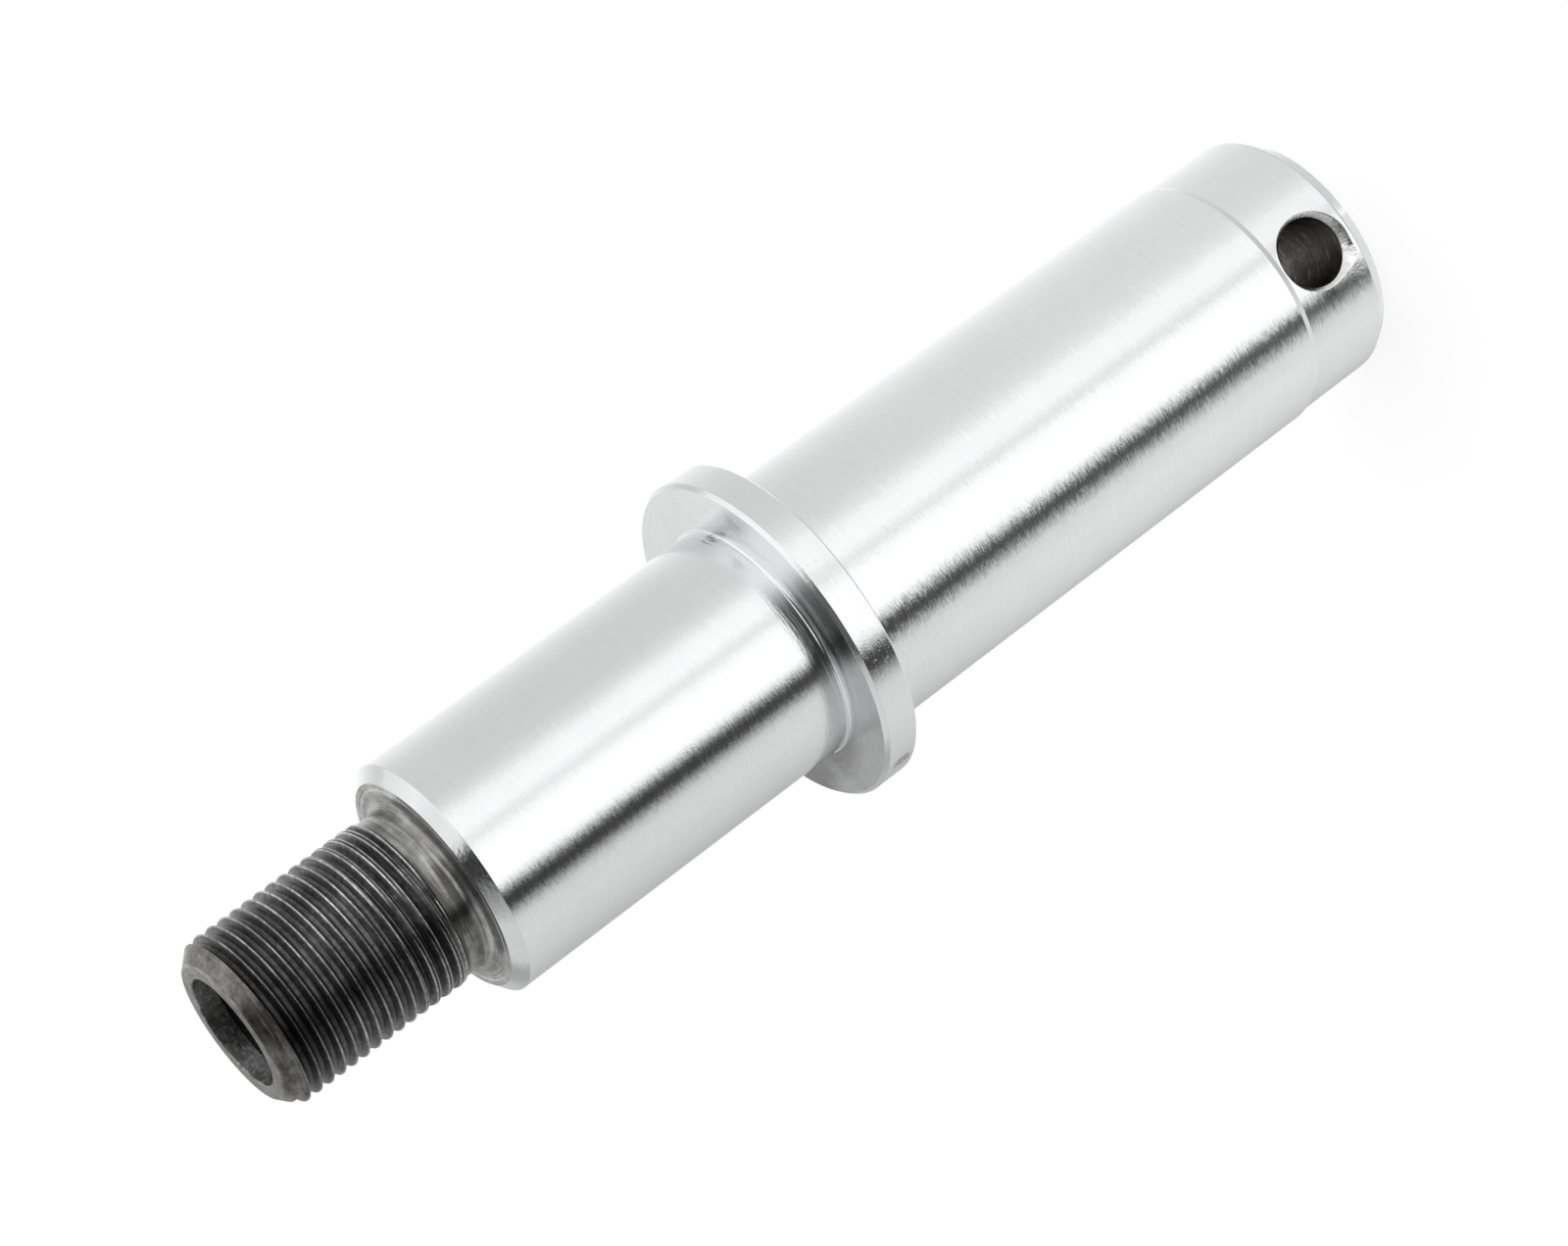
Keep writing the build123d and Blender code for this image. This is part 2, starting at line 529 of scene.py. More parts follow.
def feed(tree, socket, value):
    """Link an output to a socket, or set a plain value on it."""
    if isinstance(value, bpy.types.NodeSocket):
        tree.links.new(value, socket)
    else:
        socket.default_value = value


def feed_all(tree, made, values):
    """Feed a node's sockets in their order, and return the node."""
    for socket, value in zip(made.inputs, values):
        feed(tree, socket, value)
    return made


def math_node(tree, operation, *values):
    return feed_all(tree, node(tree, "ShaderNodeMath", operation=operation), values).outputs[0]


def vector_node(tree, operation, *values):
    return feed_all(tree, node(tree, "ShaderNodeVectorMath", operation=operation), values)


def scaled(tree, vector, scale):
    return vector_node(tree, "MULTIPLY", vector, scale).outputs[0]


def length_of(tree, vector):
    return vector_node(tree, "LENGTH", vector).outputs["Value"]


def mapped(tree, value, low, high, to_low=0.0, to_high=1.0, way="LINEAR"):
    """The value taken from one range to another, and held at its ends."""
    made = node(tree, "ShaderNodeMapRange", interpolation_type=way)
    return feed_all(tree, made, (value, low, high, to_low, to_high)).outputs["Result"]


def mixed(tree, factor, one, other, way="MIX"):
    """Two colours mixed by a factor."""
    made = node(tree, "ShaderNodeMix", data_type="RGBA", blend_type=way)
    for name, value in (("Factor", factor), ("A", one), ("B", other)):
        feed(tree, made.inputs[name], value)
    return made.outputs["Result"]


def mixed_shader(tree, factor, one, other):
    made = node(tree, "ShaderNodeMixShader")
    return feed_all(tree, made, (factor, one, other)).outputs[0]


def weigh(tree, start, *pairs):
    """start plus each value times its weight."""
    total = start
    for value, weight in pairs:
        total = math_node(tree, "MULTIPLY_ADD", value, weight, total)
    return total


def shades(tree, tone, stops):
    """Colour of a tone from 0 to 1, by stops of (tone, colour)."""
    ramp = node(tree, "ShaderNodeValToRGB")
    elements = ramp.color_ramp.elements
    elements[0].position, elements[1].position = stops[0][0], stops[-1][0]
    for element, (_, colour) in zip(elements, (stops[0], stops[-1])):
        element.color = (*colour, 1)
    for where, colour in stops[1:-1]:
        elements.new(where).color = (*colour, 1)
    feed(tree, ramp.inputs["Fac"], tone)
    return ramp.outputs["Color"]


def position(tree):
    return node(tree, "ShaderNodeTexCoord").outputs["Object"]


def radius_of(tree):
    """Distance from the axis, in millimetres."""
    return length_of(tree, scaled(tree, position(tree), (PER_METRE, PER_METRE, 0.0)))


def height_of(tree):
    """Height over the head's end face, in millimetres."""
    split = node(tree, "ShaderNodeSeparateXYZ")
    feed(tree, split.inputs[0], position(tree))
    return math_node(tree, "MULTIPLY", split.outputs["Z"], PER_METRE)


def tangent_round(tree):
    """Direction round the pin's axis."""
    made = node(tree, "ShaderNodeTangent", direction_type="RADIAL", axis="Z")
    return made.outputs["Tangent"]


# Fields that the finishes are made of. Sizes are in millimetres, and the seed is a field's own.

# Noise keeps mostly between these values
NOISE_LOW, NOISE_HIGH = 0.3, 0.7


def noise(tree, vector, w, detail, rough=0.55):
    made = node(tree, "ShaderNodeTexNoise", noise_dimensions="4D")
    values = {"Vector": vector, "W": w, "Scale": 1.0, "Detail": detail, "Roughness": rough}
    for name, value in values.items():
        feed(tree, made.inputs[name], value)
    return made.outputs["Fac"]


def turning(tree, across, around, seed, detail=2.0):
    """Noise drawn out round the axis, so that it makes turning marks on any turned face."""
    scale = (PER_METRE / around, PER_METRE / around, PER_METRE / across)
    w = math_node(tree, "MULTIPLY_ADD", radius_of(tree), 1.0 / across, seed)
    return noise(tree, scaled(tree, position(tree), scale), w, detail)


def cloud(tree, size, seed, detail=3.0, rough=0.6, stretch=(1.0, 1.0, 1.0)):
    """Noise of one size in every direction, or drawn out along some."""
    scale = tuple(PER_METRE / size / s for s in stretch)
    return noise(tree, scaled(tree, position(tree), scale), seed, detail, rough)


def chatter(tree, pitch, seed):
    """Noise in rays round the cross hole's axis, this far apart at its mouth."""
    centre = (0.0, 0.0, HOLE_HEIGHT * MM)
    offset = vector_node(tree, "SUBTRACT", position(tree), centre).outputs[0]
    flat = scaled(tree, offset, (1.0, 0.0, 1.0))
    ray = vector_node(tree, "NORMALIZE", flat).outputs[0]
    reach = HOLE_RADIUS / pitch
    out = math_node(tree, "MULTIPLY_ADD", length_of(tree, flat), PER_METRE, seed)
    return noise(tree, scaled(tree, ray, (reach, reach, reach)), out, 2.0)


def spread(tree, field, low, high):
    """Noise taken to a range of its own, such as a roughness."""
    return mapped(tree, field, NOISE_LOW, NOISE_HIGH, low, high)


def surface_point(angle, radius, z):
    """Place at this angle round the axis from the middle of the photograph's view, in degrees."""
    a = math.radians(angle) - TURN
    return (-radius * math.sin(a), -radius * math.cos(a), z)


# A patch is whole within this share of its reach
PATCH_CORE = 0.2


def patch(tree, centre, side, up):
    """1 round a place, falling to 0 this far to the side and up or down."""
    place = tuple(c * MM for c in centre)
    offset = vector_node(tree, "SUBTRACT", position(tree), place).outputs[0]
    scale = (PER_METRE / side, PER_METRE / side, PER_METRE / up)
    return mapped(tree, length_of(tree, scaled(tree, offset, scale)), 1.0, PATCH_CORE)


def marked(tree, tone, marks):
    """The tone with the patches of a table of marks."""
    return weigh(tree, tone, *(
        (patch(tree, surface_point(angle, radius, z), side, up), weight)
        for angle, radius, z, side, up, weight in marks))


def relief(tree, heights):
    """Bump of several (height field, depth in millimetres), one on another."""
    normal = None
    for field, depth in heights:
        bump = node(tree, "ShaderNodeBump")
        bump.inputs["Strength"].default_value = 1.0
        bump.inputs["Distance"].default_value = depth * MM
        feed(tree, bump.inputs["Height"], field)
        if normal is not None:
            feed(tree, bump.inputs["Normal"], normal)
        normal = bump.outputs["Normal"]
    return normal


def swayed(tree, normal, field, reach):
    """The normal leant round the axis by a field, by this many radians from end to end."""
    side = vector_node(tree, "SCALE", tangent_round(tree))
    feed(tree, side.inputs["Scale"], weigh(tree, -reach / 2, (field, reach)))
    total = vector_node(tree, "ADD", normal, side.outputs[0])
    return vector_node(tree, "NORMALIZE", total.outputs[0]).outputs[0]


def grey(value, warm=0.0):
    return (value * (1 + warm), value, value * (1 - warm))


def cool(value):
    return (value, value + 0.005, value + 0.01)


# Marks that the photograph shows at one place. Each row is an angle round the pin, a radius and
# a height, the reach to the side and in height, and what it adds to the tone at its middle.

# painted shade on the head beside the cross hole, deepening the dark reflection there
HEAD_PAINTED_SHADE = [
    (23.5, HEAD_RADIUS, 7.8, 2.4, 3.0, -0.62),
    (20.6, HEAD_RADIUS, 3.0, 1.5, 1.5, -0.50),
]
# painted shade on the flange's front face at two places, and painted shadow at its lower end
FACE_PAINTED_SHADE = [
    (10, 17.0, FLANGE_FRONT, 5.0, 2.0, -0.45),
    (32, 17.0, FLANGE_FRONT, 15.0, 3.0, -0.32),
    (98, 14.2, FLANGE_FRONT, 6.0, 3.0, -0.75),
    (77, 14.4, FLANGE_FRONT, 4.5, 3.0, -0.45),
    (122, 18.4, FLANGE_FRONT, 6.0, 3.0, -0.90),
]
# two darker places on the shoulder's chamfer
EDGE_MARKS = [
    (-56, 13.3, 126.2, 4.0, 2.0, -0.40),
    (44, 13.3, 126.2, 4.5, 2.0, -0.30),
]
# darker patches on neck and shoulder, two painted highlights, painted shade beside the thread
NECK_PATCHES_AND_PAINTED_LIGHT = [
    (23, 9.6, 129.4, 5.2, 1.2, -0.48),
    (11, 9.8, 128.3, 4.4, 0.75, -0.80),
    (-69, 10.1, 127.7, 3.8, 1.1, -0.42),
    (-32, 12.0, SHOULDER, 4.0, 1.0, -0.25),
    (60, 9.6, 129.6, 6.0, 1.3, -0.22),
    (-53, NECK_RADIUS, 129.6, 2.5, 0.9, -0.30),
    (-18, NECK_RADIUS, 129.6, 1.8, 0.9, -0.28),
    (-15, 12.1, SHOULDER, 2.2, 0.8, -0.25),
    (45, 9.8, 128.3, 5.5, 0.9, -0.34),
    # painted highlights on the neck's fillet
    (10, 11.0, 127.0, 4.5, 0.8, 0.22),
    (64, 10.8, 127.1, 4.5, 0.32, 0.26),
    (72, 9.75, 128.3, 4.0, 0.7, -0.16),
    # painted shade at the neck's end beside the thread
    (10, NECK_RADIUS, THREAD_START, 8.0, 0.75, -0.75),
    (50, NECK_RADIUS, THREAD_START, 6.0, 0.75, -0.40),
]
# painted highlights and painted shade along the thread
THREAD_PAINTED_LIGHT = [
    (-14, 9.9, 136.0, 9.0, 15.0, 0.75),
    (-72, 9.9, 133.0, 5.0, 6.0, 0.40),
    (-86, 9.9, 141.0, 6.0, 14.0, 0.50),
    (86, 9.9, 141.0, 5.0, 14.0, 0.30),
    (22, 9.9, 140.0, 5.0, 16.0, -0.40),
    (0, 9.9, 152.0, 16.0, 8.0, -0.45),
    (40, 9.9, 149.0, 7.0, 6.0, -0.25),
]
# darker patches on the cone and on the end face
END_MARKS = [
    (7, 9.0, 151.2, 5.0, 1.15, -0.45),
    (46, 9.0, 151.6, 4.0, 1.5, -0.24),
    (-8, 7.2, THREAD_END, 3.5, 0.9, -0.42),
]
# painted shade in the middle of what shows of the blind hole's wall, and painted light beside it
WELL_PAINTED_LIGHT_AND_SHADE = [
    (189, END_HOLE_RADIUS, 151.3, 3.8, 3.0, -0.58),
    (225, END_HOLE_RADIUS, 151.3, 3.0, 3.0, 0.22),
    (140, END_HOLE_RADIUS, 150.9, 3.8, 1.5, 0.38),
]
# painted light low down on the drill's point
POINT_PAINTED_LIGHT = [
    (52, 4.6, 149.4, 5.5, 5.0, 1.0),
]


# Finishes of the steel. Each gives, for its own node tree, the colour, the roughness and the
# heights for its relief, and may give the anisotropy and a field and reach for the sway.

def ground_steel(tree):
    """The journals, ground round, with a dark streaked patch in the corner of the short one."""
    dark_corner_patch = math_node(tree, "MULTIPLY",
                      patch(tree, surface_point(-58, SHORT_RADIUS, 82.6), 2.2, 1.5),
                      mapped(tree, turning(tree, 0.22, 1.6, seed=8), 0.40, 0.62))
    tone = weigh(tree, 0.26,
                 (turning(tree, 0.12, 4.0, seed=1), 0.35),
                 (cloud(tree, 5.0, seed=2), 0.25),
                 (cloud(tree, 0.45, seed=7, rough=0.7), 0.45),
                 (dark_corner_patch, -1.1))
    # the short journal was ground finer, so its marks sway less than the long one's
    share = mapped(tree, height_of(tree), 79.0, 82.0, 1.0, 0.50)
    marks = math_node(tree, "SUBTRACT", turning(tree, 0.15, 0.8, seed=5, detail=3), 0.5)
    return dict(
        colour=shades(tree, tone, [
            (0.0, (0.34, 0.335, 0.33)), (0.45, cool(0.80)), (1.0, cool(0.92))]),
        roughness=spread(tree, turning(tree, 0.3, 6.0, seed=3), 0.11, 0.165),
        heights=[(turning(tree, 0.2, 1.6, seed=4), 0.012),
                 (cloud(tree, 0.22, seed=6, detail=2), 0.006)],
        anisotropic=0.5,
        sway=(math_node(tree, "MULTIPLY_ADD", marks, share, 0.5), 0.15),
    )


def turned_steel(tree):
    """The head, as it was turned, with a few scuffs and painted shade beside the cross hole."""
    scuffs = cloud(tree, 0.5, seed=13, detail=2, rough=0.5, stretch=(2.5, 2.5, 0.7))
    tone = weigh(tree, 0.25,
                 (turning(tree, 0.16, 5.0, seed=11), 0.5),
                 (cloud(tree, 3.0, seed=12), 0.3),
                 (mapped(tree, scuffs, 0.73, 0.78, 0.0, -0.35), 1.0))
    # the file that wore the cross hole's edge has scratched the head beside it
    scratches = math_node(tree, "MULTIPLY", cloud(tree, 0.25, seed=18, stretch=(1.0, 1.0, 2.0)),
                          patch(tree, (-4.2, -14.6, 2.6), 2.3, 2.3))
    return dict(
        # painted shade beside the cross hole
        colour=shades(tree, marked(tree, tone, HEAD_PAINTED_SHADE), [
            (0.0, cool(0.40)), (0.15, cool(0.72)), (0.35, cool(0.83)), (1.0, cool(0.90))]),
        roughness=spread(tree, cloud(tree, 2.0, seed=14), 0.14, 0.21),
        heights=[(turning(tree, 0.2, 2.0, seed=15), 0.012),
                 (cloud(tree, 0.28, seed=16, detail=2), 0.006),
                 (scratches, 0.05)],
        anisotropic=0.5,
        sway=(turning(tree, 0.17, 1.0, seed=17, detail=3), 0.14),
    )


def face_steel(tree):
    """The flat faces, with a facing cut's fine rings, and painted shade on the flange's front
    face.
    """
    # a painted dark streak, mottled, standing in for a dark reflection on the turned face
    painted_dark_patch = math_node(tree, "MULTIPLY",
                       patch(tree, surface_point(-42, 17.2, FLANGE_FRONT), 3.2, 2.0),
                       mapped(tree, cloud(tree, 1.2, seed=117, detail=2), 0.20, 0.60, 0.6, 1.0))
    tone = weigh(tree, 0.40,
                 (turning(tree, 0.16, 6.0, seed=111), 0.4),
                 (cloud(tree, 3.0, seed=112), 0.2),
                 (cloud(tree, 0.5, seed=116), 0.15),
                 (painted_dark_patch, -0.55))
    return dict(
        # painted shade and painted shadow on the flange's front face
        colour=shades(tree, marked(tree, tone, FACE_PAINTED_SHADE), [
            (0.0, (0.44, 0.44, 0.445)), (0.45, cool(0.80)), (1.0, cool(0.90))]),
        roughness=spread(tree, cloud(tree, 2.0, seed=113), 0.15, 0.22),
        heights=[(turning(tree, 0.2, 4.0, seed=114), 0.008),
                 (cloud(tree, 0.28, seed=115, detail=2), 0.004)],
        anisotropic=0.5,
    )


def edge_steel(tree):
    """The chamfers and bevels, cut smoother than the faces."""
    tone = weigh(tree, 0.35,
                 (turning(tree, 0.16, 5.0, seed=101), 0.5),
                 (cloud(tree, 1.5, seed=102), 0.4))
    return dict(
        colour=shades(tree, marked(tree, tone, EDGE_MARKS), [
            (0.0, cool(0.52)), (0.3, cool(0.75)), (1.0, cool(0.87))]),
        roughness=spread(tree, cloud(tree, 1.0, seed=103), 0.08, 0.13),
        heights=[(cloud(tree, 0.5, seed=104), 0.012)],
        anisotropic=0.3,
        sway=(turning(tree, 0.25, 2.0, seed=105, detail=3), 0.08),
    )


def rim_steel(tree):
    """The flange's rim, which is as it was turned, with a painted dark reflection at one side."""
    # a painted dark reflection at one side of the rim
    painted_dark_patch = math_node(tree, "MULTIPLY",
                       patch(tree, surface_point(71.5, FLANGE_RADIUS, 79.4), 1.6, 1.8),
                       mapped(tree, cloud(tree, 0.4, seed=23), 0.3, 0.5))
    tone = weigh(tree, 0.15,
                 (turning(tree, 0.2, 3.0, seed=21), 0.5),
                 (cloud(tree, 2.0, seed=22), 0.3),
                 (painted_dark_patch, -0.9))
    specks = mapped(tree, cloud(tree, 0.22, seed=26, detail=2), 0.65, 0.80)
    return dict(
        colour=shades(tree, tone, [
            (0.0, (0.40, 0.39, 0.375)), (0.3, cool(0.82)), (1.0, cool(0.93))]),
        roughness=spread(tree, cloud(tree, 1.5, seed=24), 0.09, 0.15),
        heights=[(specks, 0.03), (cloud(tree, 0.2, seed=28, detail=2), 0.008)],
        anisotropic=0.3,
        sway=(turning(tree, 0.25, 0.8, seed=27, detail=3), 0.07),
    )


def neck_steel(tree):
    """The neck and shoulder's face, dark, with lighter rings, darker patches and painted light."""
    radius = radius_of(tree)
    tone = weigh(tree, -0.58,
                 (turning(tree, 0.13, 6.0, seed=31, detail=3), 1.4),
                 (cloud(tree, 1.4, seed=32, detail=4), 0.8),
                 (mapped(tree, radius, 11.2, 11.7, 0.0, 0.26), 1.0),
                 (mapped(tree, radius, 11.8, 12.0, 0.0, -0.10), 1.0))
    return dict(
        colour=shades(tree, marked(tree, tone, NECK_PATCHES_AND_PAINTED_LIGHT), [
            (0.0, grey(0.10, 0.02)), (0.45, grey(0.32, 0.01)), (1.0, grey(0.74))]),
        roughness=spread(tree, cloud(tree, 1.0, seed=33), 0.24, 0.36),
        heights=[(turning(tree, 0.13, 2.0, seed=34), 0.006),
                 (cloud(tree, 0.3, seed=35, detail=2), 0.004)],
        anisotropic=0.6,
    )


def thread_steel(tree):
    """Dark flanks and roots, crests rubbed bright, and painted highlights and shade on them."""
    radius = radius_of(tree)
    # dark flanks and roots, lighter crests, and painted highlights along the crests' edges
    tone_and_painted_highlights = shades(tree, mapped(tree, radius, 9.0, 10.0), [
        (0.0, grey(0.10)), (0.14, grey(0.11)), (0.22, grey(0.17)), (0.70, grey(0.155)),
        (0.79, grey(0.19)), (0.82, grey(0.44)), (0.88, grey(0.51)), (0.90, grey(0.38)),
        (0.925, grey(0.35))])
    # the wide crests near the neck are painted dark between their painted edge highlights
    wide = mapped(tree, height_of(tree), WIDE_TO, WIDE_FROM + 1.0, 0.0, 0.85)
    middle = math_node(tree, "MULTIPLY", mapped(tree, radius, 9.893, 9.908), wide)
    # random wear, times painted light and shade along the thread and on the wide crests
    wear_and_painted_light = mapped(tree, cloud(tree, 0.6, seed=41), NOISE_LOW, NOISE_HIGH, 0.50, 1.25)
    for share in (marked(tree, 1.0, THREAD_PAINTED_LIGHT),
                  mapped(tree, cloud(tree, 4.0, seed=46), 0.35, 0.65, 0.65, 1.20),
                  mapped(tree, turning(tree, 0.12, 5.0, seed=45), 0.35, 0.65, 0.70, 1.30),
                  math_node(tree, "SUBTRACT", 1.0, middle)):
        wear_and_painted_light = math_node(tree, "MULTIPLY", wear_and_painted_light, share)
    polish = mapped(tree, radius, 9.78, 9.84, 1.0, 0.55)
    return dict(
        colour=mixed(tree, 1.0, tone_and_painted_highlights, wear_and_painted_light, "MULTIPLY"),
        roughness=math_node(tree, "MULTIPLY",
                            spread(tree, cloud(tree, 0.5, seed=42), 0.30, 0.46), polish),
        heights=[(turning(tree, 0.10, 1.2, seed=43), 0.003),
                 (cloud(tree, 0.18, seed=44, detail=2), 0.003)],
        anisotropic=0.3,
    )


def end_steel(tree):
    """The cone and ring at the threaded end, patchy, with a painted highlight where they meet."""
    radius = radius_of(tree)
    # a painted highlight on the edge of ring and cone, and the cone a little darker beside it
    away = math_node(tree, "ABSOLUTE", math_node(tree, "SUBTRACT", radius, END_FACE_RADIUS))
    painted_edge_highlight = math_node(tree, "MULTIPLY", mapped(tree, away, 0.20, 0.08),
                       mapped(tree, cloud(tree, 2.0, seed=57), 0.35, 0.65))
    tone = weigh(tree, -0.97,
                 (cloud(tree, 1.5, seed=51, detail=4, rough=0.65), 1.7),
                 (turning(tree, 0.3, 2.0, seed=52), 0.7),
                 (cloud(tree, 0.5, seed=56, rough=0.65), 0.5),
                 (mapped(tree, radius, 8.1, 8.4), -0.05),
                 (painted_edge_highlight, 0.7))
    return dict(
        colour=shades(tree, marked(tree, tone, END_MARKS), [
            (0.0, grey(0.07, 0.05)), (0.45, grey(0.20, 0.025)), (1.0, grey(0.36, 0.01))]),
        roughness=spread(tree, cloud(tree, 1.2, seed=53), 0.27, 0.40),
        heights=[(turning(tree, 0.2, 2.0, seed=54), 0.005), (cloud(tree, 0.35, seed=55), 0.008)],
        anisotropic=0.3,
    )


def well_steel(tree):
    """The wall of the blind hole, rough from the drill, with painted shade and light."""
    scratches = cloud(tree, 0.3, seed=65, detail=2, rough=0.5, stretch=(3.0, 3.0, 0.6))
    tone = weigh(tree, -1.00,
                 (cloud(tree, 0.4, seed=61, rough=0.65), 1.6),
                 (cloud(tree, 2.0, seed=62), 1.5),
                 (mapped(tree, scratches, 0.62, 0.72), 0.8))
    return dict(
        colour=shades(tree, marked(tree, tone, WELL_PAINTED_LIGHT_AND_SHADE), [
            (0.0, grey(0.10)), (0.5, grey(0.32, 0.01)), (1.0, grey(0.75))]),
        roughness=spread(tree, cloud(tree, 0.5, seed=63), 0.42, 0.6),
        heights=[(cloud(tree, 0.4, seed=64), 0.02)],
    )


def point_painted_shade(tree):
    """The drill point's cone, painted nearly black as shade, with painted light low down."""
    tone = weigh(tree, 0.0, (cloud(tree, 0.6, seed=71), 0.5))
    return dict(
        colour=shades(tree, marked(tree, tone, POINT_PAINTED_LIGHT), [
            (0.15, grey(0.008)), (0.4, grey(0.03)), (1.0, grey(0.30))]),
        roughness=spread(tree, cloud(tree, 0.5, seed=72), 0.45, 0.6),
        heights=[(turning(tree, 0.3, 3.0, seed=73), 0.01)],
    )


def bore_steel(tree):
    """The wall of the cross hole, with the drill's rings round its own axis."""
    def rings(seed):
        return cloud(tree, 0.35, seed, stretch=(6.0, 1.0, 6.0))

    streaks = cloud(tree, 0.3, seed=85, detail=2, rough=0.5, stretch=(7.0, 1.0, 7.0))
    tone = weigh(tree, -0.5,
                 (rings(seed=81), 1.3),
                 (cloud(tree, 1.5, seed=82), 0.6),
                 (mapped(tree, streaks, 0.60, 0.72, 0.0, 0.8), 1.0))
    return dict(
        colour=shades(tree, tone, [
            (0.0, grey(0.08, 0.07)), (0.5, grey(0.26, 0.05)), (1.0, grey(0.80, 0.03))]),
        roughness=spread(tree, cloud(tree, 0.4, seed=83), 0.28, 0.42),
        heights=[(rings(seed=84), 0.04)],
    )


def sink_steel(tree):
    """The countersinks, cut with a tool that chattered."""
    tone = weigh(tree, -0.7,
                 (cloud(tree, 0.30, seed=91, rough=0.65), 1.2),
                 (chatter(tree, 0.25, seed=94), 1.4))
    return dict(
        colour=shades(tree, tone, [(0.0, grey(0.20)), (0.4, grey(0.85)), (1.0, grey(0.96))]),
        roughness=spread(tree, cloud(tree, 0.4, seed=92), 0.22, 0.34),
        heights=[(chatter(tree, 0.28, seed=95), 0.07), (cloud(tree, 0.30, seed=93), 0.03)],
    )


FINISHES = [
    ground_steel, turned_steel, face_steel, edge_steel, rim_steel, neck_steel, thread_steel,
    end_steel, well_steel, point_painted_shade, bore_steel, sink_steel,
]


def make_material(finish):
    """The material of one finish, which is named after its function."""
    material = bpy.data.materials.new(finish.__name__)
    material.use_nodes = True
    tree = material.node_tree
    shader = tree.nodes["Principled BSDF"]
    look = finish(tree)
    anisotropic = look.get("anisotropic", 0.0)
    shader.inputs["Metallic"].default_value = 1.0
    shader.inputs["Anisotropic"].default_value = anisotropic
    feed(tree, shader.inputs["Base Color"], look["colour"])
    feed(tree, shader.inputs["Roughness"], look["roughness"])
    normal = relief(tree, look["heights"])
    if "sway" in look:
        normal = swayed(tree, normal, *look["sway"])
    feed(tree, shader.inputs["Normal"], normal)
    if anisotropic:
        # a quarter of a turn from the direction round the pin
        shader.inputs["Anisotropic Rotation"].default_value = 0.25
        feed(tree, shader.inputs["Tangent"], tangent_round(tree))
    return material


# Camera

# The photograph's width and focal length in its pixels
PHOTO_WIDTH = 1600.0
FOCAL_LENGTH = 3956.23
SENSOR_WIDTH = 36.0
# The camera was solved from the circles and straight outlines. This is where it sees the point
# of the pin's axis at SOLVED_HEIGHT, in units of SOLVED_UNIT, to the right, down and ahead, and
# the direction of the axis towards the head.
SOLVED_POINT = (-0.13661194, 0.12088871, 26.56374553)
SOLVED_UNIT = 15.55
SOLVED_HEIGHT = 81.333
HEADWARD = (0.74125481, -0.54617175, 0.39017652)


def make_camera():
    """The photograph's camera."""
    point = np.array(SOLVED_POINT) * SOLVED_UNIT
    headward = np.array(HEADWARD)
    toward = -point + (point @ headward) * headward
    toward /= np.linalg.norm(toward)
    aside = np.cross(headward, toward)
    # the pin's axes as the camera sees them
    y_axis = -(math.cos(TURN) * toward + math.sin(TURN) * aside)
    z_axis = -headward
    x_axis = np.cross(y_axis, z_axis)
    seen = np.array([x_axis, y_axis, z_axis])
    place = -seen @ point + np.array([0, 0, SOLVED_HEIGHT])
    axes = seen @ np.diag([1.0, -1.0, -1.0])
    camera = bpy.data.cameras.new("camera")
    camera.sensor_fit = "HORIZONTAL"
    camera.sensor_width = SENSOR_WIDTH
    camera.lens = FOCAL_LENGTH * SENSOR_WIDTH / PHOTO_WIDTH
    camera.clip_start = 0.01
    camera.clip_end = 50.0
    holder = bpy.data.objects.new("camera", camera)
    rows = [list(axes[k]) + [place[k] * MM] for k in range(3)]
    holder.matrix_world = Matrix(rows + [[0, 0, 0, 1]])
    bpy.context.scene.collection.objects.link(holder)
    bpy.context.scene.camera = holder


# Light

# Direction from the axis towards the camera, and the one at right angles to it, on the floor
TOWARD = (math.sin(TURN), -math.cos(TURN), 0.0)
ASIDE = (-math.cos(TURN), -math.sin(TURN), 0.0)
# Colour ramps hold the light in shares of this
PEAK = 1.4
# Light by azimuth in degrees, from TOWARD to ASIDE. LOW comes from under the level of the pin,
# as its journals mirror it, LEVEL from a little higher, MID and TOP from above, DEEP from below.
DEEP = [
    (-180, 1.24), (-169, 1.24), (-160, 1.12), (-151, 0.92), (-145, 0.80), (-138, 0.74),
    (0, 0.60), (20, 0.60), (50, 0.76), (134, 0.86), (180, 0.90),
]
LOW = [
    (-180, 1.08), (-160, 1.03), (-120, 0.85), (-100, 0.80), (-80, 0.79), (-60, 0.82),
    (-46, 0.90), (-36, 1.08), (-20, 1.10), (-10, 0.86), (-4, 1.12), (10, 1.24), (31, 1.24),
    (37, 1.10), (42, 0.64), (47, 0.12), (50, 0.08), (54.5, 0.10), (60.5, 0.40), (69, 0.78),
    (90, 0.86), (120, 0.78), (140, 0.68), (160, 0.56), (180, 0.60),
]
LEVEL = [
    (-180, 1.17), (-162, 1.03), (-120, 0.77), (-100, 0.70), (-80, 0.69), (-60, 0.70),
    (-48, 0.80), (-36, 1.06), (-20, 1.12), (-10, 0.90), (-4, 1.08), (10, 1.24), (28, 1.24),
    (35, 1.02), (39, 0.56), (43, 0.14), (47, 0.04), (55, 0.05), (60, 0.29), (67, 0.64),
    (74, 0.72), (90, 0.74), (120, 0.66), (140, 0.58), (160, 0.50), (180, 0.62),
]
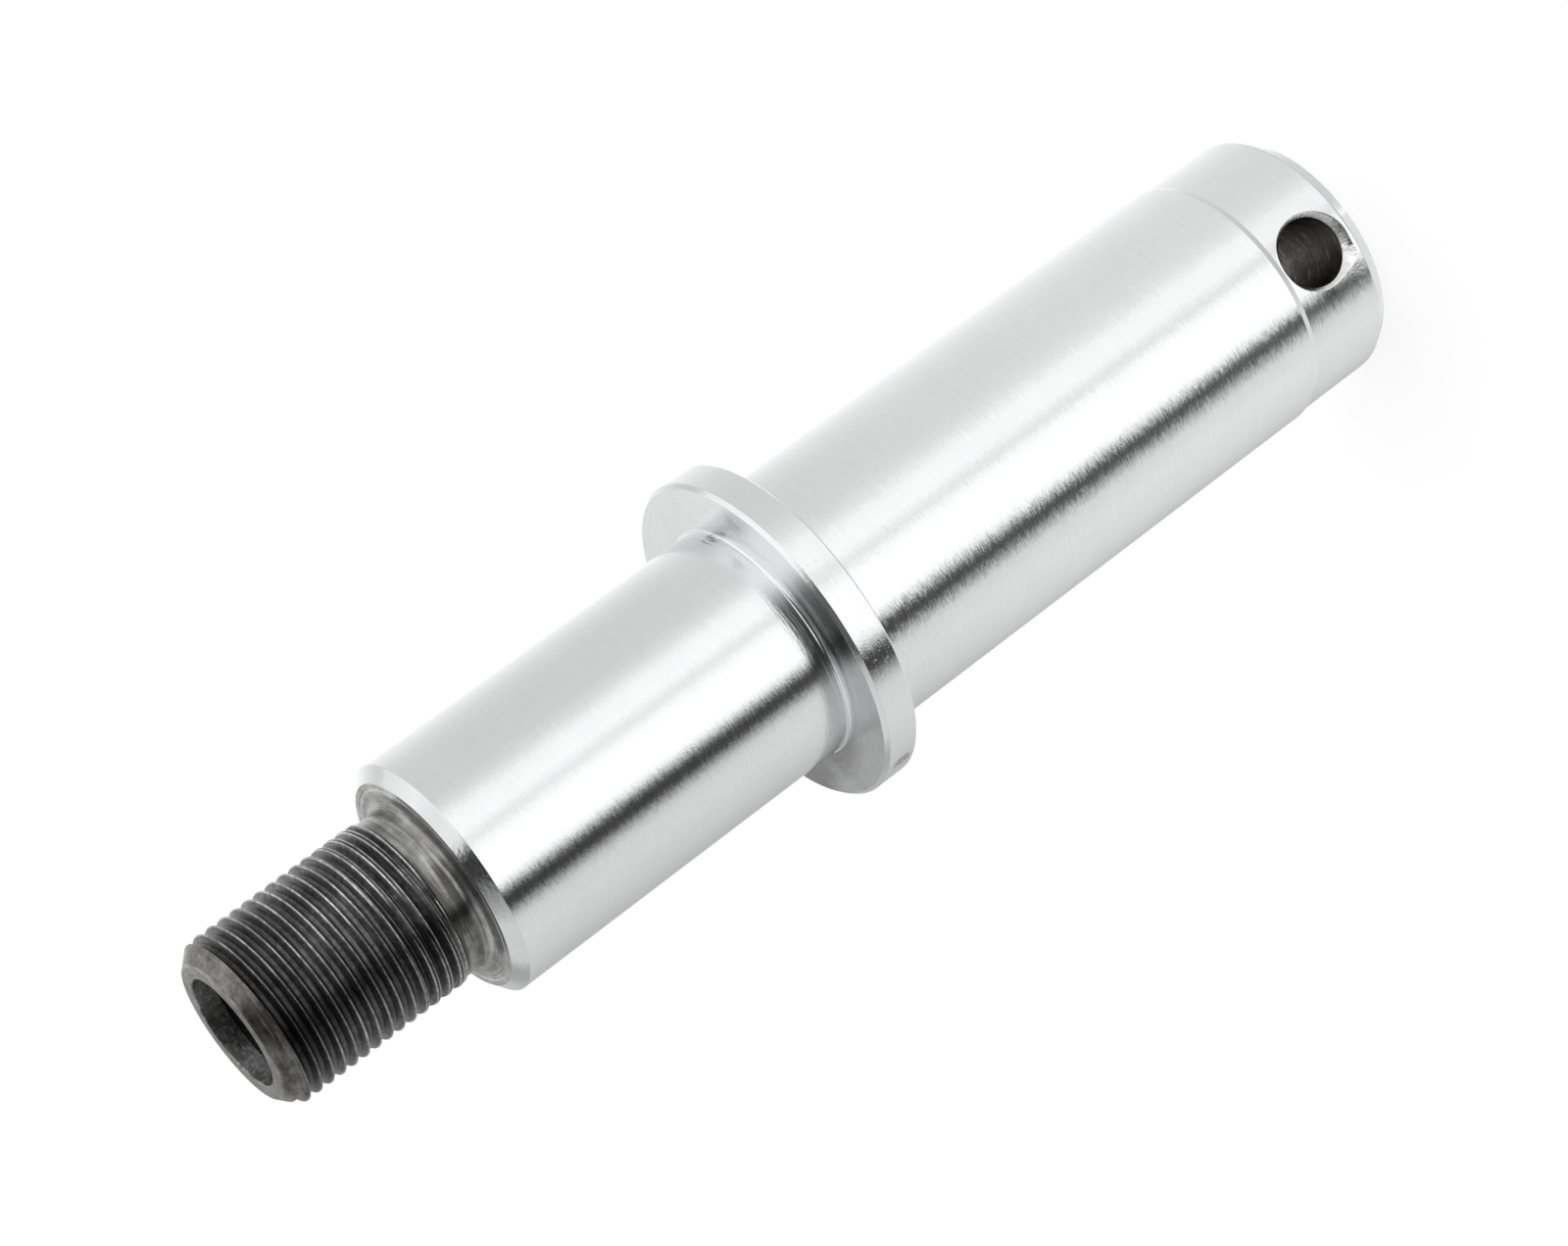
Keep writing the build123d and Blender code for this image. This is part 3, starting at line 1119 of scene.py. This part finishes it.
MID = [
    (-180, 0.86), (-165, 0.88), (-145, 0.76), (-120, 0.64), (-103, 0.68), (-88, 0.88),
    (-75, 0.98), (-45, 0.98), (-35, 0.86), (-24, 0.42), (-12, 0.08), (0, 0.01), (46, 0.01),
    (54, 0.04), (61, 0.14), (70, 0.40), (90, 0.46), (120, 0.47), (145, 0.43), (160, 0.36),
    (180, 0.34),
]
TOP = [
    (-180, 0.94), (-120, 1.00), (-60, 1.14), (-40, 1.10), (-30, 0.86), (-16, 0.18),
    (-8, 0.06), (46, 0.05), (54, 0.12), (62, 0.34), (70, 0.58), (84, 0.68), (100, 0.76),
    (114, 0.74), (130, 0.74), (145, 0.64), (160, 0.46), (180, 0.44),
]
# Light from high up, and from nearly straight above, where the lamp's edge is further round
HIGH = [
    (-180, 0.80), (-120, 0.86), (-84, 0.95), (-60, 1.10), (-46, 1.12), (-38, 1.02),
    (-30, 0.84), (-22, 0.46), (-14, 0.20), (-4, 0.14), (50, 0.12), (62, 0.08), (74, 0.04),
    (84, 0.12), (94, 0.32), (104, 0.42), (120, 0.46), (140, 0.50), (180, 0.60),
]
CROWN = [
    (-180, 0.85), (-120, 0.92), (-84, 0.98), (-66, 0.92), (-56, 0.62), (-46, 0.30),
    (-36, 0.10), (-20, 0.04), (74, 0.03), (84, 0.12), (94, 0.32), (104, 0.42), (120, 0.46),
    (140, 0.50), (180, 0.60),
]
# Bands above DEEP, each with the heights of the direction between which it takes over from the
# one before, and whether its lamps' edges lean
BANDS = [
    (LOW, -0.76, -0.56, True), (LEVEL, -0.44, -0.398, True), (MID, 0.08, 0.36, False),
    (TOP, 0.40, 0.55, False), (HIGH, 0.80, 0.92, False), (CROWN, 0.935, 0.965, False),
]
# How far those edges lean, in turns for each unit of height, from this height under the level
LEAN = 0.04
LEAN_FROM = 0.39


def light_round(tree, azimuth, stops):
    """Light of one band, as a colour ramp over the azimuth in turns from 0 to 1."""
    ramp = node(tree, "ShaderNodeValToRGB")
    elements = ramp.color_ramp.elements
    while len(elements) > 1:
        elements.remove(elements[-1])
    elements[0].position = 0.0
    for k, (angle, value) in enumerate(stops):
        where = (angle + 180) / 360
        element = elements[0] if k == 0 else elements.new(where)
        element.position = where
        element.color = (value / PEAK, value / PEAK, value / PEAK, 1)
    feed(tree, ramp.inputs["Fac"], azimuth)
    return ramp.outputs["Color"]


def make_world():
    """The studio that lights the pin, with plain white in its place for the camera alone."""
    world = bpy.data.worlds.new("studio")
    bpy.context.scene.world = world
    world.use_nodes = True
    tree = world.node_tree
    tree.nodes.clear()
    direction = node(tree, "ShaderNodeTexCoord").outputs["Generated"]

    def along(axis):
        return vector_node(tree, "DOT_PRODUCT", direction, axis).outputs["Value"]

    height = along((0, 0, 1))
    angle = math_node(tree, "ARCTAN2", along(ASIDE), along(TOWARD))
    azimuth = math_node(tree, "MULTIPLY_ADD", angle, 0.5 / math.pi, 0.5)
    raised = math_node(tree, "ADD", height, LEAN_FROM)
    leaning = math_node(tree, "MULTIPLY_ADD", raised, LEAN, azimuth)
    light = light_round(tree, azimuth, DEEP)
    for stops, start, end, leans in BANDS:
        share = mapped(tree, height, start, end, way="SMOOTHSTEP")
        band = light_round(tree, leaning if leans else azimuth, stops)
        light = mixed(tree, share, light, band)
    studio = feed_all(tree, node(tree, "ShaderNodeBackground"), (light, PEAK))
    white = feed_all(tree, node(tree, "ShaderNodeBackground"), ((1, 1, 1, 1), 1.0))
    to_camera = node(tree, "ShaderNodeLightPath").outputs["Is Camera Ray"]
    output = node(tree, "ShaderNodeOutputWorld")
    feed(tree, output.inputs["Surface"],
         mixed_shader(tree, to_camera, studio.outputs[0], white.outputs[0]))


# Floor: its radius in metres, its sides, how far it lies under the pin, its grey, and the light
# that it adds towards the camera so that it shows white
FLOOR_RADIUS = 6.0
FLOOR_SIDES = 96
FLOOR_GAP = 0.05
FLOOR_GREY = 0.45
FLOOR_GLOW = 0.77


def make_floor():
    """A white floor, which metal doesn't mirror."""
    bpy.ops.mesh.primitive_circle_add(vertices=FLOOR_SIDES, radius=FLOOR_RADIUS,
                                      fill_type="NGON", location=(0, 0, -FLOOR_GAP * MM))
    floor = bpy.context.object
    floor.name = "floor"
    material = bpy.data.materials.new("floor_white")
    material.use_nodes = True
    tree = material.node_tree
    tree.nodes.clear()
    diffuse = node(tree, "ShaderNodeBsdfDiffuse")
    diffuse.inputs["Color"].default_value = (FLOOR_GREY, FLOOR_GREY, FLOOR_GREY, 1)
    to_camera = node(tree, "ShaderNodeLightPath").outputs["Is Camera Ray"]
    strength = math_node(tree, "MULTIPLY", to_camera, FLOOR_GLOW)
    glow = feed_all(tree, node(tree, "ShaderNodeEmission"), ((1, 1, 1, 1), strength))
    both = feed_all(tree, node(tree, "ShaderNodeAddShader"), (diffuse.outputs[0], glow.outputs[0]))
    # from below the floor is clear, so that the head's end face can be seen
    below = node(tree, "ShaderNodeNewGeometry").outputs["Backfacing"]
    clear = node(tree, "ShaderNodeBsdfTransparent")
    output = node(tree, "ShaderNodeOutputMaterial")
    feed(tree, output.inputs["Surface"],
         mixed_shader(tree, below, both.outputs[0], clear.outputs[0]))
    floor.data.materials.append(material)
    floor.visible_glossy = False


bpy.context.scene.view_settings.view_transform = "Standard"
make_camera()
make_world()
make_floor()
pin = make_pin([make_material(finish) for finish in FINISHES])
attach(pin, "root")
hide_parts("brake_shoe_pin")
